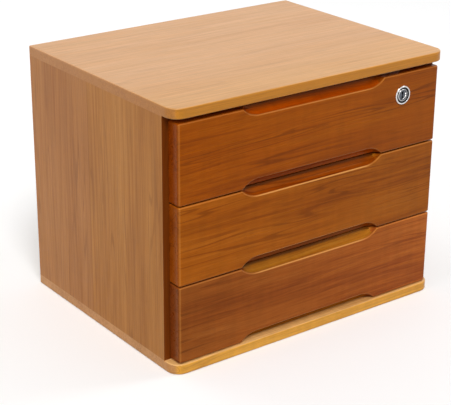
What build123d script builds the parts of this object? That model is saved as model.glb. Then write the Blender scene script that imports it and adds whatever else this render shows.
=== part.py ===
"""Desktop file drawer: a lacquered wooden cabinet with three full-width drawers.

Millimetres. The origin is on the underside of the bottom board, at the middle of its width
and depth. X runs to the right, Y to the back and Z up, so the drawers open towards -Y.

The top and bottom boards run right across the two side panels, and stand forward of them
with rounded front corners. The drawer fronts lie over the side panels' front edges. Each
front has a finger scoop routed into its top edge and an arch into its bottom edge, so two
fronts make one long opening. A cam lock in the top drawer turns up behind a steel keeper.
"""
from build123d import *
import math
import os

# ---- carcass ----
case_width = 390.0
case_depth = 300.0
case_height = 310.0
board_t = 12.0             # top and bottom boards
board_corner_r = 16.0      # their front corners, seen from above
board_arris_r = 1.6
side_t = 12.0
back_t = 5.0
back_inset = 1.0           # from the boards' back edges in to the back panel
back_lap = 6.0             # width of the rebate that the back panel lies in
back_fit = 0.2             # between the back panel's edges and the rebate

# ---- drawer fronts ----
drawer_count = 3
front_t = 18.0
front_reveal = 2.6         # fronts stand back from the boards' front edges
front_margin = 8.0         # strip of side panel left showing beside each front
front_top_gap = 5.7
front_base_gap = 0.8
front_gap = 1.6            # between one front and the next
closing_gap = 0.4          # behind a closed front
front_arris_r = 1.8
front_side_r = 3.5         # upright edges

# ---- finger openings: a scoop in the top edge of each front, an arch in the bottom edge ----
grip_flat = 158.0          # straight part
grip_rise = 9.2            # from the edge of the front to the straight part
grip_end_r = 32.0          # of the ends, which climb out through the edge
grip_cut = 10.0            # how far the cutter goes into the thickness
grip_land = 0.2            # straight wall between the rounded lip and the cove

# ---- drawer boxes ----
box_side_t = 11.0
box_height = 72.0
box_bottom_rise = 8.0      # from the bottom edge of the front to that of the box
box_side_gap = 1.0         # beside the box, to the side panel
box_rear_gap = 9.0         # behind the box, to the back panel
box_finger_count = 5       # fingers of each rear corner joint
bottom_t = 3.0
bottom_rise = 4.0          # from the bottom edge of the box to its bottom panel
bottom_lap = 5.0           # how far the bottom panel goes into each groove
groove_fit = 0.1

# ---- runners: strips on the side panels, in grooves of the drawer sides ----
runner_height = 11.4
runner_depth = 5.8
runner_front_gap = 5.0     # behind the closed front
runner_rear_gap = 4.0      # in front of the back panel
runner_centre_rise = 36.0  # from the bottom edge of the box
runner_top_gap = 0.3
runner_bottom_gap = 0.7
runner_face_gap = 0.5

# ---- joints and wood screws ----
tongue_t = 5.0             # along the top of each side panel
tongue_height = 5.0
tongue_front_stop = 24.0   # so that the tongue doesn't show from the front
housing_depth = 6.0        # of the drawer sides, in the fronts
screw_sides = 10           # flat sides that stand for a small screw's round
bore_fit = 0.05            # round a shank
base_screw_d = 4.0
base_screw_head_d = 8.0
base_screw_length = 35.0
base_screw_sink = 0.3      # heads stay clear of the desk
base_screw_count = 3       # into each side panel
base_screw_inset = 32.0
small_screw_d = 3.0
small_screw_head_d = 6.0
runner_screw_length = 14.0
runner_screw_count = 2
runner_screw_inset = 40.0
back_screw_length = 16.0
back_screw_side_count = 3  # along each upright edge
back_screw_row_count = 2   # along the top and the bottom
back_screw_inset = 45.0

# ---- cam lock ----
lock_from_side = 57.0      # from the front's right-hand side
lock_from_top = 26.0       # from the front's top edge
flange_d = 22.5
flange_proud = 1.9
flange_ring_w = 2.1        # polished ring round the rim
flange_bevel = 0.7
flange_floor = 0.4         # floor inside the ring, in front of the drawer front
barrel_d = 18.0
barrel_fit = 0.15          # in the hole through the front
barrel_tail = 5.2          # behind the front, for the nut
nut_t = 3.5
nut_flats = 22.0
plug_head_d = 14.6
plug_head_proud = 1.5
plug_head_t = 4.0
plug_bevel = 0.6
plug_dish_d = 9.6
plug_dish_depth = 0.5
plug_d = 13.0
plug_fit = 0.05
keyway_w = 2.4
keyway_h = 8.4
keyway_depth = 9.0
cam_t = 2.0
cam_gap = 0.2              # between the barrel's end and the cam
cam_reach = 27.0
cam_boss_d = 16.0
cam_tip_w = 9.0
cam_tip_r = 2.5
cam_square = 7.0
cam_fit = 0.1
cam_screw_head_d = 8.5
cam_screw_head_t = 2.6
cam_screw_d = 4.0
cam_screw_length = 9.0
keeper_t = 1.5
keeper_width = 30.0
keeper_drop = 12.0
keeper_foot = 22.0
keeper_bend_r = 2.0
lock_play = 0.6            # between the keeper and the turned-up cam
keeper_screw_spacing = 18.0
keeper_screw_length = 10.0
keeper_screw_head_t = 1.8

# ---- places that follow from the sizes above ----
OVER = 1.0                 # how far a cutter runs past a face
NEAR = 0.01                # how close an edge lies to the place it is picked by
half_width = case_width / 2
front_edge_y = -case_depth / 2
rear_edge_y = case_depth / 2
front_face_y = front_edge_y + front_reveal
front_back_y = front_face_y + front_t
side_front_y = front_back_y + closing_gap
side_inner_x = half_width - side_t
back_rear_y = rear_edge_y - back_inset
back_front_y = back_rear_y - back_t
inner_top_z = case_height - board_t

front_width = case_width - 2 * front_margin
fronts_span = inner_top_z - front_top_gap - board_t - front_base_gap
front_height = (fronts_span - (drawer_count - 1) * front_gap) / drawer_count
front_pitch = front_height + front_gap

box_outer_x = side_inner_x - box_side_gap
box_inner_x = box_outer_x - box_side_t
box_rear_y = back_front_y - box_rear_gap
box_back_y = box_rear_y - box_side_t
box_top = box_bottom_rise + box_height
panel_low = box_bottom_rise + bottom_rise

runner_tip_x = side_inner_x - runner_depth
runner_mid = box_bottom_rise + runner_centre_rise
runner_front_y = front_back_y + runner_front_gap
runner_rear_y = back_front_y - runner_rear_gap

lock_x = front_width / 2 - lock_from_side
lock_rise = front_height - lock_from_top
barrel_end_y = front_back_y + barrel_tail
cam_front_y = barrel_end_y + cam_gap
cam_rear_y = cam_front_y + cam_t
keeper_rear_y = cam_front_y - lock_play


def drawer_base(number):
    """Height of the bottom edge of a front. Drawer 1 is at the top."""
    return board_t + front_base_gap + (drawer_count - number) * front_pitch


def block(x0, x1, y0, y1, z0, z1):
    """Box between two corners."""
    size = Box(x1 - x0, y1 - y0, z1 - z0)
    return Pos((x0 + x1) / 2, (y0 + y1) / 2, (z0 + z1) / 2) * size


def turned(points):
    """Solid of revolution about Y from points given as (radius, y)."""
    return revolve(make_face(Polyline(*points, close=True)), Axis.Y)


def spread(count, low, high):
    """Evenly spaced values from low to high."""
    return [low + (high - low) * i / (count - 1) for i in range(count)]


def mirrored(shape):
    """The same shape on the other side of the cabinet."""
    return mirror(shape, about=Plane.YZ)


def placed(shape, places):
    """A copy of the shape at each place."""
    return [place * shape for place in places]


def facing(x, y, z, direction):
    """Place at a point whose own Z axis runs along a direction."""
    return Plane(origin=(x, y, z), z_dir=direction).location


def solids_of(shape):
    """The one solid of a plain piece, or a compound of several."""
    solids = list(shape.solids())
    return solids[0] if len(solids) == 1 else Compound(children=solids)


# ---- fasteners, each along its own Z from the outer face of its head ----

def bar(d, length, low=0.0):
    """Small round bar with flat sides, standing on Z = low."""
    return Pos(0, 0, low) * extrude(RegularPolygon(d / 2, screw_sides), length)


def wood_screw(shank_d, head_d, length, gap=0.0):
    """Countersunk wood screw. With a gap it is the cutter for its hole."""
    shank = bar(shank_d + 2 * gap, length + gap)
    rim = RegularPolygon(head_d / 2 + gap, screw_sides)
    neck = Pos(0, 0, (head_d - shank_d) / 2) * RegularPolygon(shank_d / 2 + gap, screw_sides)
    screw = shank + loft([rim, neck], ruled=True)
    if gap:
        screw = screw + bar(head_d + 2 * gap, OVER, -OVER)
    return screw


base_screw = wood_screw(base_screw_d, base_screw_head_d, base_screw_length)
base_screw_hole = wood_screw(base_screw_d, base_screw_head_d, base_screw_length, bore_fit)
runner_screw = wood_screw(small_screw_d, small_screw_head_d, runner_screw_length)
runner_screw_hole = wood_screw(small_screw_d, small_screw_head_d, runner_screw_length, bore_fit)
back_screw = wood_screw(small_screw_d, small_screw_head_d, back_screw_length)
back_screw_hole = wood_screw(small_screw_d, small_screw_head_d, back_screw_length, bore_fit)

# ---- where the fasteners go ----
joint_x = half_width - side_t / 2
base_screw_ys = spread(
    base_screw_count, side_front_y + base_screw_inset, rear_edge_y - base_screw_inset)
base_screw_places = [
    facing(x, y, base_screw_sink, (0, 0, 1)) for x in (-joint_x, joint_x) for y in base_screw_ys]

back_lap_x = side_inner_x + back_lap / 2
back_ups = spread(back_screw_side_count, back_screw_inset, case_height - back_screw_inset)
back_acrosses = spread(
    back_screw_row_count, back_screw_inset - half_width, half_width - back_screw_inset)
back_rows = (board_t - back_lap / 2, inner_top_z + back_lap / 2)
back_screw_points = [(x, z) for x in (-back_lap_x, back_lap_x) for z in back_ups]
back_screw_points += [(x, z) for x in back_acrosses for z in back_rows]
back_screw_places = [facing(x, back_rear_y, z, (0, -1, 0)) for x, z in back_screw_points]

runner_screw_ys = spread(
    runner_screw_count, runner_front_y + runner_screw_inset, runner_rear_y - runner_screw_inset)


def runner_screw_places(number, side):
    """Screws of one runner. side is -1 on the left and 1 on the right."""
    z = drawer_base(number) + runner_mid
    return [facing(side * runner_tip_x, y, z, (side, 0, 0)) for y in runner_screw_ys]


drawer_numbers = list(range(1, drawer_count + 1))
all_runner_screw_places = [
    place for number in drawer_numbers for side in (-1, 1)
    for place in runner_screw_places(number, side)]

keeper_screw_y = keeper_rear_y + keeper_foot / 2 + keeper_bend_r
keeper_screw_places = [
    facing(lock_x + dx, keeper_screw_y, inner_top_z - keeper_t - keeper_screw_head_t, (0, 0, 1))
    for dx in (-keeper_screw_spacing / 2, keeper_screw_spacing / 2)]


# ---- carcass pieces ----

def board(low_z, seat_low, seat_high):
    """Full-size board with rounded front corners. Its eased edges stay square between
    seat_low and seat_high, where it meets the side panels."""
    plan = block(-half_width, half_width, front_edge_y, rear_edge_y, low_z, low_z + board_t)
    uprights = plan.edges().filter_by(Axis.Z)
    plan = fillet(uprights.group_by(Axis.Y)[0], board_corner_r)
    faces = plan.faces().filter_by(Axis.Z)
    outline = faces.edges().filter_by(lambda edge: edge.center().Y < rear_edge_y - OVER)
    eased = fillet(outline, board_arris_r)
    seat = block(-half_width, half_width, side_front_y, rear_edge_y, seat_low, seat_high)
    return eased + seat


back_recess = block(
    -side_inner_x - back_lap, side_inner_x + back_lap, back_front_y, rear_edge_y + OVER,
    board_t - back_lap, inner_top_z + back_lap)


def bored(part, hole, places):
    """The part with a hole cut at each place."""
    return part - placed(hole, places)


def make_keeper_screw():
    """Pan-head screw of the lock keeper."""
    shank = bar(small_screw_d, keeper_screw_head_t + keeper_screw_length)
    return shank + bar(small_screw_head_d, keeper_screw_head_t)


keeper_screw = make_keeper_screw()
keeper_screw_hole = bar(
    small_screw_d + 2 * bore_fit, keeper_screw_length + bore_fit, keeper_screw_head_t)


def tongues(gap=0.0):
    """Stopped tongues along the tops of both side panels. With a gap they are the cutter
    for their grooves in the top board."""
    half_t = tongue_t / 2 + gap
    right = block(joint_x - half_t, joint_x + half_t, side_front_y + tongue_front_stop - gap,
                  back_front_y, inner_top_z, inner_top_z + tongue_height + gap)
    return right + mirrored(right)


def make_top_board():
    """Top board, with grooves for the side panels and the back panel's rebate."""
    part = board(inner_top_z, inner_top_z, case_height - board_arris_r)
    part = part - back_recess
    part = part - tongues(groove_fit)
    part = bored(part, back_screw_hole, back_screw_places)
    return bored(part, keeper_screw_hole, keeper_screw_places)


def make_bottom_board():
    """Bottom board, with countersunk holes from below and the back panel's rebate."""
    part = board(0.0, board_arris_r, board_t)
    part = part - back_recess
    part = bored(part, base_screw_hole, base_screw_places)
    return bored(part, back_screw_hole, back_screw_places)


def make_side_panel(side):
    """Side panel between the boards, flush with their edges."""
    outer = side * half_width
    inner = side * side_inner_x
    low_x = min(outer, inner)
    high_x = max(outer, inner)
    part = block(low_x, high_x, side_front_y, rear_edge_y, board_t, inner_top_z)
    part = part - back_recess
    reach = block(low_x, high_x, side_front_y, rear_edge_y, board_t, case_height)
    part = part + (tongues() & reach)
    part = bored(part, base_screw_hole, base_screw_places)
    part = bored(part, back_screw_hole, back_screw_places)
    return bored(part, runner_screw_hole, all_runner_screw_places)


def make_back_panel():
    """Thin back panel in the rebates of the sides and boards."""
    reach = side_inner_x + back_lap - back_fit
    low = board_t - back_lap + back_fit
    high = inner_top_z + back_lap - back_fit
    part = block(-reach, reach, back_front_y, back_rear_y, low, high)
    return bored(part, back_screw_hole, back_screw_places)


def make_runner(number, side):
    """Wooden strip that one side of a drawer slides on."""
    tip = side * runner_tip_x
    root = side * side_inner_x
    mid = drawer_base(number) + runner_mid
    part = block(min(tip, root), max(tip, root), runner_front_y, runner_rear_y,
                 mid - runner_height / 2, mid + runner_height / 2)
    return bored(part, runner_screw_hole, runner_screw_places(number, side))


def make_keeper():
    """Steel angle under the top board. Its hanging leg stops the turned-up cam."""
    front_y = keeper_rear_y - keeper_t
    foot_end_y = front_y + keeper_foot
    low_z = inner_top_z - keeper_drop
    section = Polyline(
        (front_y, low_z), (keeper_rear_y, low_z), (keeper_rear_y, inner_top_z - keeper_t),
        (foot_end_y, inner_top_z - keeper_t), (foot_end_y, inner_top_z), (front_y, inner_top_z),
        close=True)
    angle = extrude(Plane.YZ * make_face(section), keeper_width)
    bend = angle.edges().filter_by(Axis.X).sort_by(lambda edge: edge.center().Z - edge.center().Y)
    angle = fillet(bend[-1:], keeper_bend_r)
    angle = Pos(lock_x - keeper_width / 2, 0, 0) * angle
    return bored(angle, keeper_screw_hole, keeper_screw_places)


# ---- drawer pieces, with the bottom edge of the front at Z = 0 ----

def grip_cutter():
    """Cutter for a finger scoop in an edge at Z = 0, with the wood below it.

    Each end is a large arc that climbs out through the edge. The back of the cutter is
    rounded, which leaves a cove in front of the wall that stays at the back."""
    run_out = grip_rise + OVER
    climb = math.degrees(math.acos(1 - run_out / grip_end_r))
    end = JernArc((grip_flat / 2, -grip_rise), (1, 0), grip_end_r, climb)
    top = end @ 1
    floor = Line((-grip_flat / 2, -grip_rise), (grip_flat / 2, -grip_rise))
    outline = floor + end + mirror(end, about=Plane.YZ) + Line(top, (-top.X, top.Y))
    body = extrude(make_face(outline), grip_cut + OVER)
    rim = body.edges().group_by(Axis.Z)[0]
    rim = rim.filter_by(lambda edge: edge.center().Y < OVER - NEAR)
    cove_r = min(grip_cut - front_arris_r - grip_land, grip_end_r - OVER)
    body = fillet(rim, cove_r)
    return Pos(0, front_face_y + grip_cut, 0) * (Rot(90, 0, 0) * body)


def make_front():
    """Drawer front with its scoop, arch, eased edges, and grooves for the box behind it."""
    half = front_width / 2
    part = block(-half, half, front_face_y, front_back_y, 0, front_height)
    uprights = part.edges().filter_by(Axis.Z).group_by(Axis.Y)[0]
    part = fillet(uprights, front_side_r)
    cutter = grip_cutter()
    part = part - (Pos(0, 0, front_height) * cutter)
    part = part - mirror(cutter, about=Plane.XY)
    rim = part.edges().filter_by(lambda edge: edge.center().Y < front_face_y + NEAR)
    rim = rim.filter_by(lambda edge: abs(edge.center().X) < half - front_side_r - NEAR)
    part = fillet(rim, front_arris_r)
    part = part - bottom_groove()
    housing = block(box_inner_x - groove_fit, box_outer_x + groove_fit,
                    front_back_y - housing_depth - groove_fit, front_back_y + OVER,
                    box_bottom_rise - groove_fit, box_top + groove_fit)
    return part - housing - mirrored(housing)


def bottom_groove():
    """Space that the bottom panel takes in the pieces round it."""
    reach = box_inner_x + bottom_lap + groove_fit
    return block(-reach, reach, front_back_y - bottom_lap - groove_fit,
                 box_back_y + bottom_lap + groove_fit, panel_low, panel_low + bottom_t + groove_fit)


def runner_groove():
    """Grooves in the outer faces of both drawer sides, open at the rear."""
    floor = runner_tip_x - runner_face_gap
    top = runner_mid + runner_height / 2 + runner_top_gap
    low = runner_mid - runner_height / 2 - runner_bottom_gap
    right = block(floor, box_outer_x + OVER, front_back_y, box_rear_y + OVER, low, top)
    return right + mirrored(right)


def fingers(first):
    """Slabs of every second finger of the rear corners, from finger number first."""
    step = box_height / box_finger_count
    slabs = []
    for i in range(first, box_finger_count, 2):
        low = box_bottom_rise + i * step
        slabs.append(block(box_inner_x, box_outer_x + OVER, box_back_y, box_rear_y + OVER,
                           low, low + step))
    return slabs + [mirrored(slab) for slab in slabs]


def make_drawer_side():
    """Right-hand drawer side, housed in the front, with fingers at the rear."""
    part = block(box_inner_x, box_outer_x, front_back_y - housing_depth, box_rear_y,
                 box_bottom_rise, box_top)
    part = part - fingers(1)
    part = part - bottom_groove()
    return part - runner_groove()


def make_drawer_back():
    """Drawer back, whose fingers fill the gaps in the sides."""
    part = block(-box_outer_x, box_outer_x, box_back_y, box_rear_y, box_bottom_rise, box_top)
    part = part - fingers(0)
    part = part - bottom_groove()
    return part - runner_groove()


def make_drawer_bottom():
    """Thin panel held in grooves on all four sides."""
    reach = box_inner_x + bottom_lap
    return block(-reach, reach, front_back_y - bottom_lap, box_back_y + bottom_lap,
                 panel_low, panel_low + bottom_t)


# ---- cam lock, about a Y axis through X = 0, Z = 0 ----

def lock_hole():
    """Round hole through the drawer front for the lock's barrel."""
    reach = front_t + 2 * OVER
    hole = Cylinder(barrel_d / 2 + barrel_fit, reach)
    return Pos(0, front_face_y + front_t / 2, 0) * (Rot(90, 0, 0) * hole)


def make_lock_housing():
    """Flange with a raised ring, and the barrel that passes through the front."""
    face = front_face_y
    crown = face - flange_proud
    floor = face - flange_floor
    rim_r = flange_d / 2
    ring_r = rim_r - flange_ring_w
    barrel_r = barrel_d / 2
    bore_r = plug_d / 2 + plug_fit
    head_bore_r = plug_head_d / 2 + plug_fit
    head_seat_y = face - plug_head_proud + plug_head_t + plug_fit
    return turned([
        (rim_r - flange_bevel, crown), (rim_r, crown + flange_bevel), (rim_r, face),
        (barrel_r, face), (barrel_r, barrel_end_y), (bore_r, barrel_end_y),
        (bore_r, head_seat_y), (head_bore_r, head_seat_y), (head_bore_r, floor),
        (ring_r, floor), (ring_r, crown + flange_bevel), (ring_r + flange_bevel, crown)])


def make_lock_plug():
    """Turning plug: dished face with a keyway, shank, and a square for the cam."""
    face = front_face_y - plug_head_proud
    head_r = plug_head_d / 2
    dish_r = plug_dish_d / 2
    shank_end = barrel_end_y + cam_gap
    part = turned([
        (0, face + plug_dish_depth), (dish_r - plug_dish_depth, face + plug_dish_depth),
        (dish_r, face), (head_r - plug_bevel, face), (head_r, face + plug_bevel),
        (head_r, face + plug_head_t), (plug_d / 2, face + plug_head_t),
        (plug_d / 2, shank_end), (0, shank_end)])
    half = cam_square / 2
    part = part + block(-half, half, shank_end - OVER, cam_rear_y - cam_fit, -half, half)
    slot = block(-keyway_w / 2, keyway_w / 2, face - OVER, face + keyway_depth,
                 -keyway_h / 2, keyway_h / 2)
    bore_r = cam_screw_d / 2 + bore_fit
    bore_y = cam_rear_y - cam_screw_length - bore_fit
    screw_bore = turned([(0, bore_y), (bore_r, bore_y), (bore_r, cam_rear_y), (0, cam_rear_y)])
    return part - slot - screw_bore


def make_lock_nut():
    """Hexagon nut that clamps the housing from behind."""
    hexagon = RegularPolygon(nut_flats / 2, 6, major_radius=False)
    ring = extrude(hexagon, nut_t) - Cylinder(barrel_d / 2 + bore_fit, 4 * nut_t)
    return Pos(0, front_back_y + nut_t, 0) * (Rot(90, 0, 0) * ring)


def make_lock_cam():
    """Cam plate on the plug's square, pointing to the left while unlocked."""
    boss = Circle(cam_boss_d / 2)
    arm = Pos(-cam_reach / 2, 0) * Rectangle(cam_reach, cam_tip_w)
    tip = arm.vertices().group_by(Axis.X)[0]
    arm = fillet(tip, cam_tip_r)
    shape = boss + arm - Rectangle(cam_square + 2 * cam_fit, cam_square + 2 * cam_fit)
    return Pos(0, cam_rear_y, 0) * (Rot(90, 0, 0) * extrude(shape, cam_t))


def make_cam_screw():
    """Screw that holds the cam on the plug."""
    head_r = cam_screw_head_d / 2
    shank_r = cam_screw_d / 2
    start = cam_rear_y - cam_screw_length
    end = cam_rear_y + cam_screw_head_t
    return turned([(0, start), (shank_r, start), (shank_r, cam_rear_y), (head_r, cam_rear_y),
                   (head_r, end), (0, end)])


# ---- write every piece ----

def write(name, shape):
    """Write one node."""
    export_step(solids_of(shape), os.path.join("parts", name + ".step"))


def write_carcass():
    """Carcass, runners, keeper and their fasteners."""
    write("top_board", make_top_board())
    write("bottom_board", make_bottom_board())
    write("left_side_panel", make_side_panel(-1))
    write("right_side_panel", make_side_panel(1))
    write("back_panel", make_back_panel())
    for number in drawer_numbers:
        write(f"left_runner_{number}", make_runner(number, -1))
        write(f"right_runner_{number}", make_runner(number, 1))
    write("base_screws", Compound(children=placed(base_screw, base_screw_places)))
    write("back_panel_screws", Compound(children=placed(back_screw, back_screw_places)))
    write("runner_screws", Compound(children=placed(runner_screw, all_runner_screw_places)))
    write("lock_keeper", make_keeper())
    write("keeper_screws", Compound(children=placed(keeper_screw, keeper_screw_places)))


def write_drawers():
    """Each drawer's five nodes. Only the top front has the hole for the lock."""
    front = make_front()
    right_side = make_drawer_side()
    pieces = {
        "left_side": mirrored(right_side),
        "right_side": right_side,
        "back": make_drawer_back(),
        "bottom": make_drawer_bottom(),
    }
    for number in drawer_numbers:
        place = Pos(0, 0, drawer_base(number))
        own_front = front
        if number == 1:
            own_front = front - Pos(lock_x, 0, lock_rise) * lock_hole()
        write(f"drawer_{number}_front", place * own_front)
        for name, piece in pieces.items():
            write(f"drawer_{number}_{name}", place * piece)


def write_lock():
    """Lock pieces, all on one axis through the top drawer's front."""
    place = Pos(lock_x, 0, drawer_base(1) + lock_rise)
    write("lock_housing", place * make_lock_housing())
    write("lock_plug", place * make_lock_plug())
    write("lock_nut", place * make_lock_nut())
    write("lock_cam", place * make_lock_cam())
    write("lock_cam_screw", place * make_cam_screw())


os.makedirs("parts", exist_ok=True)
write_carcass()
write_drawers()
write_lock()
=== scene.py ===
"""Looks of the desktop file drawer: lacquered wood, plated lock and screws, floor and light.

Metres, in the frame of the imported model: X to the right, Y to the back, Z up.
"""

import math

import bmesh
import bpy
from mathutils import Matrix, Vector


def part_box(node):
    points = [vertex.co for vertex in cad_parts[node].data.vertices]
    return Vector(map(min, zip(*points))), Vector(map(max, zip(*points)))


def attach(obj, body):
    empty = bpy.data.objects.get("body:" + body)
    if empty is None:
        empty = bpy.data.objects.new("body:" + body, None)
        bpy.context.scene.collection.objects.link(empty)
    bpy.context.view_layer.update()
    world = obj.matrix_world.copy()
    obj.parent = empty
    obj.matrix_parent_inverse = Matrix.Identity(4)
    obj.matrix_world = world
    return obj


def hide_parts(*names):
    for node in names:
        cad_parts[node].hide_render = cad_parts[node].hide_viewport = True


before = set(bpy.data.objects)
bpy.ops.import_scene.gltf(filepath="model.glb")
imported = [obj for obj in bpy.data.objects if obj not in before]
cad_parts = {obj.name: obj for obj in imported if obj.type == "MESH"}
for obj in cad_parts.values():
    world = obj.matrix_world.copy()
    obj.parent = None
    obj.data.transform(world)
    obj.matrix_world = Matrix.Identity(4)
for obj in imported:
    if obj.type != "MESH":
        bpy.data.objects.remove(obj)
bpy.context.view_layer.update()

MM = 0.001
DRAWERS = (1, 2, 3)
FRONT_REACH = 0.19         # from the middle to about the end of a front

# ---- finger openings, where the fronts' tone changes and where shade and highlights are painted ----
LIP_DEPTH = 1.7 * MM       # of the rounded edges, behind the faces of the fronts
OPENING_HALF = 79.0 * MM   # half the flat length of an opening
COVE_DEPTH = 9.5 * MM      # from the lips to the deepest part of a cove
COVE_END = 16.0 * MM       # how far a cove runs on past the flat length
SHADE_START = 4.0 * MM     # below a front's top edge, where the cove's painted shade begins
SHADE_FULL = 1.0 * MM      # below the same edge, where it is at its darkest
HIGHLIGHT_INSIDE = 8.0 * MM     # from the end of the flat length in to the full painted highlight on the lips
HIGHLIGHT_OUTSIDE = 12.0 * MM   # from the end of the flat length out to the other edges' fainter painted highlight

# ---- camera, as found from the cabinet's corners ----
IMAGE_WIDTH = 451
CAMERA_AZIMUTH = math.radians(-36.65)
CAMERA_ELEVATION = math.radians(22.17)
CAMERA_ROLL = math.radians(0.39)
CAMERA_DISTANCE = 1.678
CAMERA_TARGET = Vector((-0.0157, 0.0, 0.1168))
FOCAL_PIXELS = 1368.3
SENSOR_WIDTH = 36.0
CLIP_START = 0.05

# ---- colours, linear: dark streaks, body and light bands of each wood ----
TOP_TONES = ((0.54, 0.250, 0.086), (0.625, 0.318, 0.122), (0.68, 0.362, 0.150))
BASE_TONES = ((0.60, 0.29, 0.080), (0.76, 0.42, 0.140), (0.84, 0.49, 0.19))
SIDE_TONES = ((0.29, 0.092, 0.010), (0.395, 0.148, 0.022), (0.46, 0.190, 0.036))
FRONT_TONES = {
    1: ((0.200, 0.030, 0.001), (0.325, 0.063, 0.001), (0.370, 0.082, 0.002)),
    2: ((0.225, 0.040, 0.001), (0.352, 0.082, 0.003), (0.400, 0.106, 0.007)),
    3: ((0.220, 0.038, 0.005), (0.345, 0.080, 0.010), (0.410, 0.112, 0.018)),
}
FRONT_LEANS = {1: -0.10, 2: -0.12, 3: 0.22}   # how much lighter each front is at its right end
COVE_TINTS = {1: (1.35, 1.05, 0.6), 2: (0.80, 0.60, 0.4), 3: (1.10, 1.60, 1.0)}
COVE_PAINTED_SHADE = (0.36, 0.26, 0.30)               # painted shade, high on the coves' walls below the top edge
LIP_HIGHLIGHT_SHARE = {1: 0.35, 2: 0.85, 3: 0.75}        # strength of the painted highlight on the lips of the openings
EDGE_HIGHLIGHT_SHARE = 0.22                              # strength of the painted highlight on the other rounded edges
BOX_TONES = ((0.50, 0.27, 0.105), (0.66, 0.40, 0.175), (0.74, 0.48, 0.23))
PLY_TONES = ((0.52, 0.29, 0.12), (0.67, 0.42, 0.20), (0.75, 0.50, 0.26))
# colour of the painted highlight on the fronts' rounded edges
PAINTED_HIGHLIGHT_TONE = (0.66, 0.30, 0.085)
FLOOR_SEEN = (0.97, 0.97, 0.97, 1.0)
FLOOR_LIT = (0.45, 0.45, 0.45, 1.0)
FLOOR_DROP = 0.1 * MM      # keeps the floor off the underside of the base
FLOOR_HALF = 15.0
CHROME = (0.74, 0.72, 0.70)
# the recess floor inside the ring, painted near black as painted shade and a dark reflection
RECESS_PAINTED_SHADE = (0.030, 0.032, 0.038)
# painted dark reflection on the chrome plug's dish floor and flat face
PLUG_PAINTED_REFLECTION = (0.110, 0.120, 0.140)
ZINC = (0.58, 0.58, 0.59)

# ---- how the colour changes on the other faces of a board, as factors on its colour ----
EVEN = (1.0, 1.0, 1.0)
TOP_EDGE = (0.87, 0.66, 0.12)
TOP_END = (0.66, 0.50, 0.22)
BASE_EDGE = (1.02, 0.86, 0.28)
BASE_END = (0.66, 0.54, 0.46)
FRONT_END = (0.70, 0.60, 0.62)
# much darker on the side panels' front and back edges
PANEL_EDGE = (0.46, 0.27, 0.14)
BOX_END = (0.74, 0.66, 0.58)
PINKER = (0.98, 0.97, 1.30)
YELLOWER = (1.02, 1.0, 0.80)
YELLOW_FROM = -0.150       # the top board is yellower from its front edge,
YELLOW_TO = -0.020         # less and less up to here
PANEL_JOINT_Y = 0.021      # where each side panel is glued up from two widths of wood
JOINT_CORE = 0.3 * MM      # half the dark middle of that glue line
JOINT_FADE = 0.9 * MM      # half its whole width
JOINT_DARKNESS = 0.55

# ---- lacquer ----
SATIN = 0.34               # roughness of the outside
FRONT_SATIN = 0.30
MATT = 0.5                 # of the boxes, runners and back panel
BOARD_SHINE = 0.35
PANEL_SHINE = 0.25
FRONT_SHINE = 0.28
AMBER_GLOSS = (1.0, 0.60, 0.06, 1.0)
GOLDEN_GLOSS = (1.0, 0.80, 0.50, 1.0)
CLEAR_GLOSS = (1.0, 1.0, 1.0, 1.0)

# ---- layers of the grain: share of the length along it, scale, detail and roughness ----
BANDS = (0.10, 30.0, 2.0, 0.5)
FIGURE = (0.030, 260.0, 3.0, 0.6)
GROWTH = (0.040, 66.0, 1.5, 0.45)
PRESENCE = (0.25, 24.0, 1.0, 0.5)      # where the growth lines show and where they fade
FIBRES = (0.012, 950.0, 2.0, 0.6)
PORES = (0.05, 1600.0, 1.0, 0.5)
RIPPLE_SCALE = 95.0
RIPPLE_SPREAD = 0.18                   # across the grain, so that ripples lie across it
WAVER_SCALE = 5.0                      # of the slow wander of the grain
GRAIN_SPREAD = 0.16                    # from the middle tone to the darkest and the lightest
DARK_LINE = 0.86                       # of growth lines, as a share of the dark tone
DARK_PORE = 0.7                        # the same of pores


# ---- node helpers ----

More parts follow.
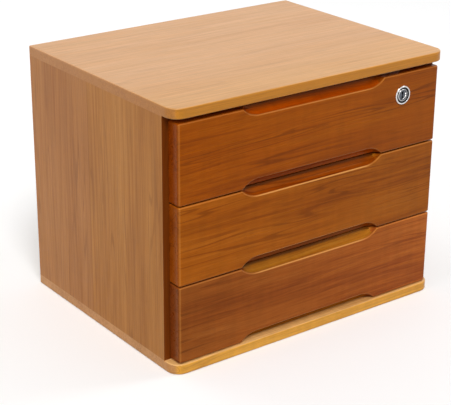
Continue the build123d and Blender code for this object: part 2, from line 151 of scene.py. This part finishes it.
class Graph:
    """Short calls that add nodes to one material."""

    def __init__(self, name):
        self.material = bpy.data.materials.new(name)
        self.material.use_nodes = True
        self.tree = self.material.node_tree
        self.tree.nodes.clear()
        self.output = self.tree.nodes.new("ShaderNodeOutputMaterial")

    def link(self, value, socket):
        """Put a number, a tuple or another node's socket on an input."""
        if isinstance(value, bpy.types.NodeSocket):
            self.tree.links.new(value, socket)
        else:
            socket.default_value = value

    def node(self, kind, inputs=None, **settings):
        """New node with its settings and inputs."""
        node = self.tree.nodes.new(kind)
        for key, value in settings.items():
            setattr(node, key, value)
        for key, value in (inputs or {}).items():
            self.link(value, node.inputs[key])
        return node

    def maths(self, operation, *values):
        """Math node of one to three values."""
        node = self.tree.nodes.new("ShaderNodeMath")
        node.operation = operation
        for socket, value in zip(node.inputs, values):
            self.link(value, socket)
        return node.outputs[0]

    def remap(self, value, low, high, to_low=0.0, to_high=1.0):
        """Value carried from one range to another, held at its ends."""
        inputs = {0: value, 1: low, 2: high, 3: to_low, 4: to_high}
        return self.node("ShaderNodeMapRange", inputs, interpolation_type="SMOOTHSTEP").outputs[0]

    def join(self, x, y, z):
        """Vector from three values."""
        return self.node("ShaderNodeCombineXYZ", {0: x, 1: y, 2: z}).outputs[0]

    def noise(self, vector, scale, detail=2.0, roughness=0.5):
        """Noise between 0 and 1."""
        inputs = {"Vector": vector, "Scale": scale, "Detail": detail, "Roughness": roughness}
        return self.node("ShaderNodeTexNoise", inputs).outputs[0]

    def mix(self, factor, a, b, blend="MIX"):
        """Mix of two colours."""
        node = self.tree.nodes.new("ShaderNodeMix")
        node.data_type = "RGBA"
        node.blend_type = blend
        self.link(factor, node.inputs[0])
        self.link(a, node.inputs[6])
        self.link(b, node.inputs[7])
        return node.outputs[2]

    def scaled(self, colour, value):
        """Colour made lighter or darker by a value."""
        return self.mix(1.0, colour, self.join(value, value, value), "MULTIPLY")

    def ramp(self, factor, stops):
        """Colour ramp through (place, colour) stops."""
        node = self.node("ShaderNodeValToRGB", {0: factor})
        elements = node.color_ramp.elements
        while len(elements) < len(stops):
            elements.new(0.5)
        for element, (place, colour) in zip(elements, stops):
            element.position = place
            element.color = colour
        return node.outputs[0]

    def bump(self, height, strength, distance):
        """Normal from a height."""
        inputs = {"Strength": strength, "Distance": distance, "Height": height}
        return self.node("ShaderNodeBump", inputs).outputs[0]

    def shader(self, **inputs):
        """Principled shader on the output. Underscores stand for spaces."""
        values = {key.replace("_", " "): value for key, value in inputs.items()}
        node = self.node("ShaderNodeBsdfPrincipled", values)
        self.tree.links.new(node.outputs[0], self.output.inputs[0])
        return self.material


def rgba(colour, gain=1.0):
    """Colour with alpha, made lighter or darker."""
    return tuple(min(1.0, part * gain) for part in colour[:3]) + (1.0,)


# ---- wood ----

def grain_space(graph, along, shift):
    """Object coordinates turned so that the first one runs along the grain, and as they are."""
    place = graph.node("ShaderNodeTexCoord").outputs["Object"]
    parts = graph.node("ShaderNodeSeparateXYZ", {0: place}).outputs
    order = {"X": (0, 1, 2), "Y": (1, 2, 0), "Z": (2, 0, 1)}[along]
    shifted = [graph.maths("ADD", parts[i], shift * (k + 1)) for k, i in enumerate(order)]
    return shifted, parts


def turned_face(graph, axis):
    """1 where the surface looks along an axis, 0 where it looks across it."""
    normal = graph.node("ShaderNodeTexCoord").outputs["Normal"]
    part = graph.node("ShaderNodeSeparateXYZ", {0: normal}).outputs["XYZ".index(axis)]
    return graph.remap(graph.maths("ABSOLUTE", part), 0.55, 0.85)


def rounding(graph):
    """1 on rounded edges and coves, 0 on faces that look along an axis."""
    normal = graph.node("ShaderNodeTexCoord").outputs["Normal"]
    parts = graph.node("ShaderNodeSeparateXYZ", {0: normal}).outputs
    sizes = [graph.maths("ABSOLUTE", part) for part in parts]
    most = graph.maths("MAXIMUM", graph.maths("MAXIMUM", sizes[0], sizes[1]), sizes[2])
    return graph.remap(most, 0.995, 0.90)


def tinted(graph, colour, factor, tint):
    """Colour multiplied by a tint as far as the factor goes."""
    return graph.mix(factor, colour, graph.mix(1.0, colour, (*tint, 1.0), "MULTIPLY"))


def fine_lines(graph, field, centre, width):
    """1 on the thin contour lines of a field, 0 away from them."""
    away = graph.maths("ABSOLUTE", graph.maths("SUBTRACT", field, centre))
    return graph.remap(away, width * 0.25, width, 1.0, 0.0)


def banded(graph, tones, contrast, bands, figure):
    """Tones of the wood spread over its broad bands and its figure."""
    tone = graph.maths("ADD", graph.maths("MULTIPLY", bands, 0.50),
                       graph.maths("MULTIPLY", figure, 0.50))
    dark, mid, light = tones
    spread = GRAIN_SPREAD / contrast
    return graph.ramp(tone, [
        (0.5 - spread, rgba(dark)), (0.5, rgba(mid)), (0.5 + spread, rgba(light))])


def growth_lines(graph, colour, dark, contrast, growth, presence):
    """Thin dark growth lines drawn on a colour, stronger in some places than in others."""
    lines = graph.maths("MAXIMUM", fine_lines(graph, growth, 0.50, 0.022),
                        fine_lines(graph, growth, 0.60, 0.014))
    shown = graph.remap(presence, 0.38, 0.62, 0.12, 0.75 * contrast)
    return graph.mix(graph.maths("MULTIPLY", lines, shown), colour, rgba(dark, DARK_LINE))


def grain(graph, tones, along, shift, contrast, ripple_size=0.045, sway_size=0.012):
    """Colour, relief and figure of lacquered wood, and the separate object coordinates.

    Broad bands, thin growth lines, fibres and pores lie along the grain, and a faint
    ripple of light lies across it."""
    (u, v, w), parts = grain_space(graph, along, shift)
    waver = graph.noise(graph.join(u, graph.maths("MULTIPLY", v, 0.5), w), WAVER_SCALE, 1.0)
    sway = graph.maths("MULTIPLY", graph.maths("SUBTRACT", waver, 0.5), sway_size)
    v = graph.maths("ADD", v, sway)
    w = graph.maths("ADD", w, sway)

    def layer(length_share, scale, detail, roughness):
        """Noise drawn out along the grain."""
        place = graph.join(graph.maths("MULTIPLY", u, length_share), v, w)
        return graph.noise(place, scale, detail, roughness)

    figure = layer(*FIGURE)
    fibres = layer(*FIBRES)
    across = graph.join(u, graph.maths("MULTIPLY", v, RIPPLE_SPREAD),
                        graph.maths("MULTIPLY", w, RIPPLE_SPREAD))
    ripple = graph.noise(across, RIPPLE_SCALE)

    colour = banded(graph, tones, contrast, layer(*BANDS), figure)
    colour = growth_lines(graph, colour, tones[0], contrast, layer(*GROWTH), layer(*PRESENCE))
    fibre_tone = graph.remap(fibres, 0.3, 0.7, 0.90, 1.08)
    ripple_tone = graph.remap(ripple, 0.3, 0.7, 1.0 - ripple_size, 1.0 + ripple_size)
    colour = graph.scaled(colour, graph.maths("MULTIPLY", fibre_tone, ripple_tone))
    pore = graph.remap(layer(*PORES), 0.62, 0.74, 0.0, 0.35)
    colour = graph.mix(pore, colour, rgba(tones[0], DARK_PORE))
    relief = graph.maths("SUBTRACT", fibres, graph.maths("MULTIPLY", pore, 1.2))
    return colour, relief, figure, parts


def lacquer(graph, colour, relief, figure, rough, shine, gloss):
    """Finish the wood with its bump and gloss."""
    normal = graph.bump(relief, 0.2, 0.10 * MM)
    roughness = graph.remap(figure, 0.25, 0.75, rough + 0.05, rough - 0.04)
    return graph.shader(
        Base_Color=colour, Roughness=roughness, Normal=normal, Specular_IOR_Level=shine,
        Specular_Tint=gloss)


def wood(name, tones, along, shift, contrast, edge_tint=EVEN, end_tint=EVEN, rough=SATIN):
    """Wood with a tint on the faces that look to the front or back, and one on those that
    look to the sides."""
    graph = Graph(name)
    colour, relief, figure, _ = grain(graph, tones, along, shift, contrast)
    colour = tinted(graph, colour, turned_face(graph, "Y"), edge_tint)
    colour = tinted(graph, colour, turned_face(graph, "X"), end_tint)
    return lacquer(graph, colour, relief, figure, rough, BOARD_SHINE, CLEAR_GLOSS)


def top_wood(name):
    """Wood of the top board, calm and a little yellower towards its front."""
    graph = Graph(name)
    colour, relief, figure, parts = grain(graph, TOP_TONES, "X", 0.31, 0.5, 0.012, 0.006)
    ahead = graph.remap(parts[1], YELLOW_FROM, YELLOW_TO, 1.0, 0.0)
    colour = tinted(graph, colour, ahead, YELLOWER)
    colour = tinted(graph, colour, turned_face(graph, "Y"), TOP_EDGE)
    colour = tinted(graph, colour, turned_face(graph, "X"), TOP_END)
    return lacquer(graph, colour, relief, figure, SATIN, BOARD_SHINE, CLEAR_GLOSS)


def panel_wood(name, shift):
    """Wood of a side panel, which is glued up from two widths. The back one is pinker."""
    graph = Graph(name)
    colour, relief, figure, parts = grain(graph, SIDE_TONES, "Z", shift, 0.8, 0.012, 0.004)
    behind = graph.maths("GREATER_THAN", parts[1], PANEL_JOINT_Y)
    colour = tinted(graph, colour, behind, PINKER)
    seam = graph.maths("ABSOLUTE", graph.maths("SUBTRACT", parts[1], PANEL_JOINT_Y))
    line = graph.remap(seam, JOINT_CORE, JOINT_FADE, JOINT_DARKNESS, 0.0)
    colour = graph.mix(line, colour, rgba(SIDE_TONES[0], 0.8))
    colour = tinted(graph, colour, turned_face(graph, "Y"), PANEL_EDGE)
    return lacquer(graph, colour, relief, figure, SATIN, PANEL_SHINE, GOLDEN_GLOSS)


def cove_tone_and_painted_shade(graph, colour, parts, number, lips):
    """The tone of a front's cove, and a painted shade high up on its wall."""
    deeper = graph.maths("MULTIPLY", graph.maths("GREATER_THAN", parts[1], lips),
                         graph.maths("LESS_THAN", parts[1], lips + COVE_DEPTH))
    centred = graph.maths("LESS_THAN", graph.maths("ABSOLUTE", parts[0]), OPENING_HALF + COVE_END)
    cove = graph.maths("MULTIPLY", deeper, centred)
    colour = tinted(graph, colour, cove, COVE_TINTS[number])
    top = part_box(f"drawer_{number}_front")[1][2]
    near_top = graph.remap(parts[2], top - SHADE_START, top - SHADE_FULL)
    upright = graph.maths("SUBTRACT", 1.0, turned_face(graph, "Z"))
    painted_shade = graph.maths("MULTIPLY", graph.maths("MULTIPLY", near_top, upright), cove)
    return tinted(graph, colour, painted_shade, COVE_PAINTED_SHADE)


def painted_lip_highlights(graph, colour, parts, number, lips):
    """A painted highlight, a paler tone, on the face's rounded edges, stronger over the width of the
    openings.
    """
    highlighted_edges = graph.maths("MULTIPLY", rounding(graph), graph.maths("LESS_THAN", parts[1], lips))
    across = graph.maths("ABSOLUTE", parts[0])
    highlight_share = graph.remap(across, OPENING_HALF - HIGHLIGHT_INSIDE, OPENING_HALF + HIGHLIGHT_OUTSIDE,
                       LIP_HIGHLIGHT_SHARE[number], EDGE_HIGHLIGHT_SHARE)
    return graph.mix(graph.maths("MULTIPLY", highlighted_edges, highlight_share), colour, rgba(PAINTED_HIGHLIGHT_TONE))


def front_wood(name, number, lips):
    """Wood of a drawer front, lighter towards one end, with its own tone and a painted shade in the
    cove, and a painted highlight on the rounded lips round the finger openings."""
    graph = Graph(name)
    colour, relief, figure, parts = grain(graph, FRONT_TONES[number], "X", 3.3 * number, 1.0)
    lean = FRONT_LEANS[number] / FRONT_REACH
    colour = graph.scaled(colour, graph.maths("ADD", graph.maths("MULTIPLY", parts[0], lean), 1.0))
    colour = cove_tone_and_painted_shade(graph, colour, parts, number, lips)
    colour = painted_lip_highlights(graph, colour, parts, number, lips)
    colour = tinted(graph, colour, turned_face(graph, "X"), FRONT_END)
    return lacquer(graph, colour, relief, figure, FRONT_SATIN, FRONT_SHINE, AMBER_GLOSS)


# ---- metal ----

SMEAR_SCALE = 160.0
GRIT_SCALE = 3600.0
GRIT_HEIGHT = 0.02 * MM


def metal(name, colour, roughness, coarseness=0.0):
    """Plated metal with fine smears and a fine grit."""
    graph = Graph(name)
    place = graph.node("ShaderNodeTexCoord").outputs["Object"]
    smear = graph.noise(place, SMEAR_SCALE, 3.0)
    grit = graph.noise(place, GRIT_SCALE, 1.0)
    tint = graph.scaled(rgba(colour), graph.remap(smear, 0.3, 0.7, 0.86, 1.05))
    rough = graph.remap(smear, 0.3, 0.7, roughness, roughness + 0.12)
    normal = graph.bump(grit, 0.05 + coarseness, GRIT_HEIGHT)
    return graph.shader(Base_Color=tint, Metallic=1.0, Roughness=rough, Normal=normal)


def dress(node_name, material):
    """Give a CAD node its material."""
    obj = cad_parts[node_name]
    for slot in obj.material_slots:
        slot.material = material
    if not obj.material_slots:
        obj.data.materials.append(material)


def dress_wood():
    """Wood of every board, front, box and runner, each with its own stretch of grain.

    The shifts only have to differ, so that no two pieces are cut from the same place."""
    dress("top_board", top_wood("top_wood"))
    dress("bottom_board", wood("base_wood", BASE_TONES, "X", 1.01, 0.8, BASE_EDGE, BASE_END))
    for i, side in enumerate(("left", "right")):
        dress(side + "_side_panel", panel_wood(side + "_panel_wood", 1.17 + 0.9 * i))
    dress("back_panel", wood("back_panel_wood", PLY_TONES, "Z", 2.9, 0.5, rough=MATT))
    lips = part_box("drawer_1_front")[0][1] + LIP_DEPTH
    for number in DRAWERS:
        dress(f"drawer_{number}_front", front_wood(f"front_{number}_wood", number, lips))
        for part, tones, along, edge, end in (
                ("left_side", BOX_TONES, "Y", BOX_END, EVEN),
                ("right_side", BOX_TONES, "Y", BOX_END, EVEN),
                ("back", BOX_TONES, "X", EVEN, BOX_END),
                ("bottom", PLY_TONES, "X", EVEN, BOX_END)):
            dress(f"drawer_{number}_{part}", wood(
                f"drawer_{number}_{part}_wood", tones, along, 5.1 * number + len(part),
                0.5, edge, end, rough=MATT))
        for side in ("left", "right"):
            dress(f"{side}_runner_{number}", wood(
                f"{side}_runner_{number}_wood", BOX_TONES, "Y", 7.3 * number + len(side),
                0.6, BOX_END, rough=MATT))


def dress_metal():
    """Zinc on the lock's hidden pieces. Returns it for the screws."""
    zinc = metal("zinc_plate", ZINC, 0.30, 0.2)
    for name in ("lock_nut", "lock_cam", "lock_keeper"):
        dress(name, zinc)
    return zinc


# ---- lock and screws, in finer meshes than the frame's ----

SEGMENTS = 96
FLANGE_PROUD = 1.9 * MM
RING_WIDTH = 2.1 * MM
RECESS_PROUD = 0.4 * MM    # floor of the recess inside the ring
BARREL_RADIUS = 9.0 * MM
PLUG_HEAD_RADIUS = 7.3 * MM
PLUG_RADIUS = 6.5 * MM
PLUG_PROUD = 1.5 * MM
PLUG_HEAD_DEPTH = 4.0 * MM
PLUG_EDGE = 0.8 * MM
DISH_RADIUS = 4.8 * MM
DISH_DEPTH = 1.1 * MM
DISH_WALL = 0.5 * MM       # across the sloping wall of the dish
KEYWAY_WIDTH = 2.4 * MM
KEYWAY_HEIGHT = 8.4 * MM
KEYWAY_DEPTH = 9.0 * MM
KEYWAY_RIDGE = 0.7 * MM
TURN_GAP = 0.05 * MM
SQUARE_HALF = 3.5 * MM     # of the plug's square end, which carries the cam
SQUARE_SHORT = 0.1 * MM    # from its end to the cam's rear face
KEYWAY_OVER = 1.0 * MM     # how far the cutters start before the face that they cut
RECESS_OVER = 0.2 * MM
SMOOTH_ANGLE = 35.0        # edges sharper than this stay crisp

# ---- screws: radii of head and shank, and thickness of pan heads ----
BASE_SCREW = (4.0 * MM, 2.0 * MM)
SMALL_SCREW = (3.0 * MM, 1.5 * MM)
CAM_SCREW = (4.25 * MM, 2.0 * MM)
KEEPER_PAN = 1.8 * MM
CAM_PAN = 2.6 * MM
SCREW_SEGMENTS = 32
ROUND_IN_TEN_SIDES = 0.955  # near the inner radius of the frame's ten-sided screws, as a share
HEAD_RIM = 0.15            # this and the next three are shares of the head's radius
RECESS_HALF_WIDTH = 0.15
RECESS_REACH = 0.62
RECESS_DEEPEST = 0.45
RECESS_IN_HEAD = 0.85      # how much of the head's thickness the recess may take
RECESS_TAPER = 0.4         # size of the recess at its bottom, as a share of its mouth
POINT_LENGTH = 1.5         # in shank radii


def new_object(name, maker, body, replaced):
    """Object from a bmesh that rides on a body and stands for CAD nodes."""
    mesh = bpy.data.meshes.new(name)
    bmesh.ops.recalc_face_normals(maker, faces=maker.faces)
    maker.to_mesh(mesh)
    maker.free()
    mesh.shade_smooth()
    mesh.set_sharp_from_angle(angle=math.radians(SMOOTH_ANGLE))
    obj = bpy.data.objects.new(name, mesh)
    bpy.context.collection.objects.link(obj)
    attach(obj, body)
    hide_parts(*replaced)
    return obj


def arc(centre, radius, start, end, steps):
    """Points on an arc, angles in degrees."""
    points = []
    for i in range(steps + 1):
        angle = math.radians(start + (end - start) * i / steps)
        points.append((centre[0] + radius * math.cos(angle), centre[1] + radius * math.sin(angle)))
    return points


def lathe(maker, profile, place, closed=True, segments=SEGMENTS):
    """Turn (radius, depth) points about the Z axis of a place."""
    rings = []
    for radius, depth in profile:
        count = 1 if radius < 1e-7 else segments
        rings.append([
            maker.verts.new(place @ Vector((radius * math.cos(math.tau * k / segments),
                                            radius * math.sin(math.tau * k / segments), depth)))
            for k in range(count)])
    pairs = list(zip(rings, rings[1:]))
    if closed:
        pairs.append((rings[-1], rings[0]))
    for first, second in pairs:
        for k in range(segments):
            corners = [first[k % len(first)], first[(k + 1) % len(first)],
                       second[(k + 1) % len(second)], second[k % len(second)]]
            unique = list(dict.fromkeys(corners))
            if len(unique) > 2:
                maker.faces.new(unique)


def prism(maker, outline, low, high, place, taper=1.0):
    """Solid between two copies of an outline at two depths. The far copy may be smaller."""
    near = [maker.verts.new(place @ Vector((x, y, low))) for x, y in outline]
    far = [maker.verts.new(place @ Vector((x * taper, y * taper, high))) for x, y in outline]
    maker.faces.new(near)
    maker.faces.new(far)
    count = len(outline)
    for k in range(count):
        maker.faces.new([near[k], near[(k + 1) % count], far[(k + 1) % count], far[k]])


def cut_with(maker, cutter):
    """The first solid less the second, as a new bmesh."""
    pieces = []
    for part in (maker, cutter):
        bmesh.ops.recalc_face_normals(part, faces=part.faces)
        mesh = bpy.data.meshes.new("cutting")
        part.to_mesh(mesh)
        part.free()
        piece = bpy.data.objects.new("cutting", mesh)
        bpy.context.collection.objects.link(piece)
        pieces.append(piece)
    change = pieces[0].modifiers.new("cut", "BOOLEAN")
    change.operation = "DIFFERENCE"
    change.solver = "EXACT"
    change.object = pieces[1]
    graph = bpy.context.evaluated_depsgraph_get()
    done = bmesh.new()
    done.from_mesh(pieces[0].evaluated_get(graph).to_mesh())
    for piece in pieces:
        mesh = piece.data
        bpy.data.objects.remove(piece)
        bpy.data.meshes.remove(mesh)
    return done


def lock_place():
    """Origin on the front's face at the lock's axis, with Z into the drawer."""
    low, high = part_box("lock_housing")
    face_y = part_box("drawer_1_front")[0][1]
    centre = Vector(((low[0] + high[0]) / 2, face_y, (low[2] + high[2]) / 2))
    return Matrix.Translation(centre) @ Matrix.Rotation(math.radians(-90.0), 4, "X")


def paint(obj, place, choose):
    """Give each face of a mesh the material slot that a rule picks from the face's distance
    from the lock's axis and its depth."""
    inverse = place.inverted()
    for face in obj.data.polygons:
        centre = inverse @ face.center
        face.material_index = choose(math.hypot(centre.x, centre.y), centre.z)


def add_lock_housing():
    """Flange with a polished bead round a recess painted near black as painted shade and a dark
    reflection, and the barrel behind it.
    """
    low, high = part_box("lock_housing")
    rim = (high[0] - low[0]) / 2
    bead = RING_WIDTH / 2
    length = high[1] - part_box("drawer_1_front")[0][1]
    bore = PLUG_RADIUS + TURN_GAP
    head_bore = PLUG_HEAD_RADIUS + TURN_GAP
    seat = PLUG_HEAD_DEPTH - PLUG_PROUD + TURN_GAP
    profile = [(rim, 0.0)]
    profile += arc((rim - bead, -FLANGE_PROUD + bead), bead, 0.0, -180.0, 16)
    profile += [(rim - RING_WIDTH, -RECESS_PROUD), (head_bore, -RECESS_PROUD),
                (head_bore, seat), (bore, seat), (bore, length), (BARREL_RADIUS, length),
                (BARREL_RADIUS, 0.0)]
    maker = bmesh.new()
    place = lock_place()
    lathe(maker, profile, place)
    housing = new_object("lock_ring", maker, "drawer_1", ["lock_housing"])
    housing.data.materials.append(metal("lock_chrome", CHROME, 0.12))
    housing.data.materials.append(metal("lock_recess_painted_shade", RECESS_PAINTED_SHADE, 0.45))
    # the recess floor takes the painted shade
    recess_edge = rim - RING_WIDTH * 0.85
    paint(housing, place, lambda radius, depth: int(radius < recess_edge and depth < seat))


def keyway_outline():
    """Outline of the keyway, with a ward on each of its long sides."""
    half_w = KEYWAY_WIDTH / 2
    half_h = KEYWAY_HEIGHT / 2
    return [(-half_w, -half_h), (half_w, -half_h), (half_w, -KEYWAY_RIDGE),
            (half_w - KEYWAY_RIDGE, 0.0), (half_w - KEYWAY_RIDGE, KEYWAY_RIDGE * 2),
            (half_w, KEYWAY_RIDGE * 3), (half_w, half_h), (-half_w, half_h),
            (-half_w, KEYWAY_RIDGE * 2), (-half_w + KEYWAY_RIDGE, KEYWAY_RIDGE),
            (-half_w + KEYWAY_RIDGE, -KEYWAY_RIDGE), (-half_w, -KEYWAY_RIDGE * 2)]


def add_lock_plug():
    """Dished plug with a keyway, its shank and the square that carries the cam."""
    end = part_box("lock_cam")[0][1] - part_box("drawer_1_front")[0][1]
    square_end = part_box("lock_cam")[1][1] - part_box("drawer_1_front")[0][1] - SQUARE_SHORT
    face = -PLUG_PROUD
    profile = [(0.0, face + DISH_DEPTH), (DISH_RADIUS - DISH_WALL, face + DISH_DEPTH),
               (DISH_RADIUS, face)]
    profile += arc((PLUG_HEAD_RADIUS - PLUG_EDGE, face + PLUG_EDGE), PLUG_EDGE, -90.0, 0.0, 8)
    profile += [(PLUG_HEAD_RADIUS, face + PLUG_HEAD_DEPTH), (PLUG_RADIUS, face + PLUG_HEAD_DEPTH),
                (PLUG_RADIUS, end), (0.0, end)]
    place = lock_place()
    maker = bmesh.new()
    lathe(maker, profile, place, closed=False)
    cutter = bmesh.new()
    prism(cutter, keyway_outline(), face - KEYWAY_OVER, face + KEYWAY_DEPTH, place)
    done = cut_with(maker, cutter)
    half = SQUARE_HALF
    prism(done, [(-half, -half), (half, -half), (half, half), (-half, half)], end, square_end, place)
    plug = new_object("lock_core", done, "lock", ["lock_plug"])
    plug.data.materials.append(metal("plug_chrome", CHROME, 0.16))
    plug.data.materials.append(metal("plug_face_painted_reflection", PLUG_PAINTED_REFLECTION, 0.22))
    # the dish floor and flat face take the painted dark reflection, the dish wall and rounded edge
    # stay chrome
    flat_edge = PLUG_HEAD_RADIUS - PLUG_EDGE
    paint(plug, place, lambda radius, depth: int(
        radius < DISH_RADIUS - DISH_WALL or DISH_RADIUS < radius < flat_edge))


def islands(node_name):
    """Boxes of the separate solids of a CAD node."""
    maker = bmesh.new()
    maker.from_mesh(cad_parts[node_name].data)
    bmesh.ops.remove_doubles(maker, verts=maker.verts, dist=1e-6)
    left = set(maker.verts)
    boxes = []
    while left:
        seed = left.pop()
        group = [seed]
        queue = [seed]
        while queue:
            vert = queue.pop()
            for edge in vert.link_edges:
                other = edge.other_vert(vert)
                if other in left:
                    left.remove(other)
                    group.append(other)
                    queue.append(other)
        low = Vector(min(vert.co[i] for vert in group) for i in range(3))
        high = Vector(max(vert.co[i] for vert in group) for i in range(3))
        boxes.append((low, high))
    maker.free()
    boxes.sort(key=lambda box: tuple(round(part, 5) for part in box[0]))
    return boxes


def cross_recess(radius, depth):
    """Cutter of a cross recess that narrows into the head."""
    half = radius * RECESS_HALF_WIDTH
    reach = radius * RECESS_REACH
    outline = [(reach, -half), (reach, half), (half, half), (half, reach), (-half, reach),
               (-half, half), (-reach, half), (-reach, -half), (-half, -half), (-half, -reach),
               (half, -reach), (half, -half)]
    maker = bmesh.new()
    prism(maker, outline, -RECESS_OVER, depth, Matrix.Identity(4), RECESS_TAPER)
    return maker


def screw_mesh(head, shank, length, sink, pan):
    """One screw along Z, from the outer face of its head. A pan head has a rounded rim, and
    a sunk head a cone below."""
    maker = bmesh.new()
    rim = head * HEAD_RIM
    depth = pan or sink
    profile = [(0.0, 0.0), (head - rim, 0.0)]
    if pan:
        profile += arc((head - rim, rim), rim, -90.0, 0.0, 4)[1:]
        profile += [(head, pan), (shank, pan)]
    else:
        profile += [(head, rim * 0.5), (shank, sink)]
    profile += [(shank, length - shank * POINT_LENGTH), (0.0, length)]
    lathe(maker, profile, Matrix.Identity(4), closed=False, segments=SCREW_SEGMENTS)
    recess = cross_recess(head, min(depth * RECESS_IN_HEAD, head * RECESS_DEEPEST))
    done = cut_with(maker, recess)
    mesh = bpy.data.meshes.new("screw")
    done.to_mesh(mesh)
    done.free()
    return mesh


def add_screws(name, node_name, body, material, towards, head, shank, pan=0.0):
    """Screws in place of those of a CAD node. towards gives the way each one points."""
    head = head * ROUND_IN_TEN_SIDES
    shank = shank * ROUND_IN_TEN_SIDES
    maker = bmesh.new()
    for low, high in islands(node_name):
        centre = (low + high) / 2
        way = towards(centre)
        length = abs((high - low).dot(way))
        start = centre - way * (length / 2)
        place = Matrix.Translation(start) @ way.to_track_quat("Z", "Y").to_matrix().to_4x4()
        mesh = screw_mesh(head, shank, length, head - shank, pan)
        mesh.transform(place)
        maker.from_mesh(mesh)
        bpy.data.meshes.remove(mesh)
    obj = new_object(name, maker, body, [node_name])
    obj.data.materials.append(material)


def add_all_screws(zinc):
    """Screws of the base, back, runners, keeper and cam."""
    def up(centre):
        return Vector((0.0, 0.0, 1.0))

    def ahead(centre):
        return Vector((0.0, -1.0, 0.0))

    def outwards(centre):
        return Vector((math.copysign(1.0, centre.x), 0.0, 0.0))

    add_screws("base_screw_set", "base_screws", "cabinet", zinc, up, *BASE_SCREW)
    add_screws("back_screw_set", "back_panel_screws", "cabinet", zinc, ahead, *SMALL_SCREW)
    add_screws("runner_screw_set", "runner_screws", "cabinet", zinc, outwards, *SMALL_SCREW)
    add_screws("keeper_screw_set", "keeper_screws", "cabinet", zinc, up, *SMALL_SCREW, KEEPER_PAN)
    add_screws("cam_screw", "lock_cam_screw", "lock", zinc, ahead, *CAM_SCREW, CAM_PAN)


# ---- camera, floor and light ----

def add_camera():
    """Camera at the photograph's angle."""
    flat = math.cos(CAMERA_ELEVATION)
    away = Vector((math.sin(CAMERA_AZIMUTH) * flat, -math.cos(CAMERA_AZIMUTH) * flat,
                   math.sin(CAMERA_ELEVATION)))
    data = bpy.data.cameras.new("camera")
    data.sensor_width = SENSOR_WIDTH
    data.lens = FOCAL_PIXELS / IMAGE_WIDTH * SENSOR_WIDTH
    data.clip_start = CLIP_START
    camera = bpy.data.objects.new("camera", data)
    bpy.context.collection.objects.link(camera)
    turn = (-away).to_track_quat("-Z", "Y").to_matrix().to_4x4()
    place = Matrix.Translation(CAMERA_TARGET + away * CAMERA_DISTANCE)
    camera.matrix_world = place @ turn @ Matrix.Rotation(CAMERA_ROLL, 4, "Z")
    bpy.context.scene.camera = camera


def seen_directly(nodes, links):
    """1 for rays that come from the camera, or by way of gloss or glass, else 0."""
    rays = nodes.new("ShaderNodeLightPath").outputs
    total = rays["Is Camera Ray"]
    for name in ("Is Glossy Ray", "Is Transmission Ray"):
        both = nodes.new("ShaderNodeMath")
        both.operation = "MAXIMUM"
        links.new(total, both.inputs[0])
        links.new(rays[name], both.inputs[1])
        total = both.outputs[0]
    return total


def add_floor():
    """Wide floor, white to the eye, that keeps the shadow and throws little light back up."""
    mesh = bpy.data.meshes.new("floor")
    maker = bmesh.new()
    bmesh.ops.create_grid(maker, x_segments=1, y_segments=1, size=FLOOR_HALF)
    maker.to_mesh(mesh)
    maker.free()
    floor = bpy.data.objects.new("floor", mesh)
    bpy.context.collection.objects.link(floor)
    graph = Graph("floor_white")
    seen = seen_directly(graph.tree.nodes, graph.tree.links)
    colour = graph.mix(seen, FLOOR_LIT, FLOOR_SEEN)
    mesh.materials.append(graph.shader(Base_Color=colour, Roughness=0.9, Specular_IOR_Level=0.0))
    floor.location.z = -FLOOR_DROP


def add_area(name, place, aim, size, power):
    """Square softbox that points at a place."""
    data = bpy.data.lights.new(name, "AREA")
    data.shape = "SQUARE"
    data.size = size
    data.energy = power
    lamp = bpy.data.objects.new(name, data)
    bpy.context.collection.objects.link(lamp)
    lamp.location = place
    lamp.rotation_euler = (Vector(aim) - Vector(place)).to_track_quat("-Z", "Y").to_euler()


def add_world(horizon, zenith):
    """Soft sky, brighter overhead, and white where it is seen directly."""
    world = bpy.data.worlds.new("world")
    bpy.context.scene.world = world
    world.use_nodes = True
    tree = world.node_tree
    tree.nodes.clear()
    output = tree.nodes.new("ShaderNodeOutputWorld")
    background = tree.nodes.new("ShaderNodeBackground")
    background.inputs[0].default_value = (1.0, 1.0, 1.0, 1.0)
    heading = tree.nodes.new("ShaderNodeTexCoord")
    split = tree.nodes.new("ShaderNodeSeparateXYZ")
    rise = tree.nodes.new("ShaderNodeMapRange")
    rise.inputs[3].default_value = horizon
    rise.inputs[4].default_value = zenith
    pick = tree.nodes.new("ShaderNodeMix")
    pick.inputs[3].default_value = 1.0
    tree.links.new(heading.outputs["Generated"], split.inputs[0])
    tree.links.new(split.outputs[2], rise.inputs[0])
    tree.links.new(seen_directly(tree.nodes, tree.links), pick.inputs[0])
    tree.links.new(rise.outputs[0], pick.inputs[2])
    tree.links.new(pick.outputs[0], background.inputs[1])
    tree.links.new(background.outputs[0], output.inputs[0])


def add_sun(name, towards, strength, angle):
    """Soft sun that stands in a direction. The angle is its width, in degrees."""
    data = bpy.data.lights.new(name, "SUN")
    data.energy = strength
    data.angle = math.radians(angle)
    lamp = bpy.data.objects.new(name, data)
    bpy.context.collection.objects.link(lamp)
    lamp.rotation_euler = Vector(towards).to_track_quat("Z", "Y").to_euler()


def add_light():
    """Soft sky, a soft key from the upper left front, soft fills and a small glint."""
    add_world(horizon=0.15, zenith=0.60)
    middle = (0.0, 0.0, 0.15)
    add_sun("key", towards=(-0.30, -0.60, 0.74), strength=1.9, angle=25.0)
    add_area("left_fill", (-2.4, -0.1, 0.75), middle, size=1.4, power=13.0)
    add_area("back_fill", (-0.9, 2.5, 0.80), middle, size=1.4, power=16.0)
    add_area("right_glint", (1.2, -0.5, 1.5), middle, size=0.4, power=5.0)


dress_wood()
plated = dress_metal()
add_lock_housing()
add_lock_plug()
add_all_screws(plated)
add_floor()
add_light()
add_camera()
bpy.context.scene.view_settings.view_transform = "Standard"
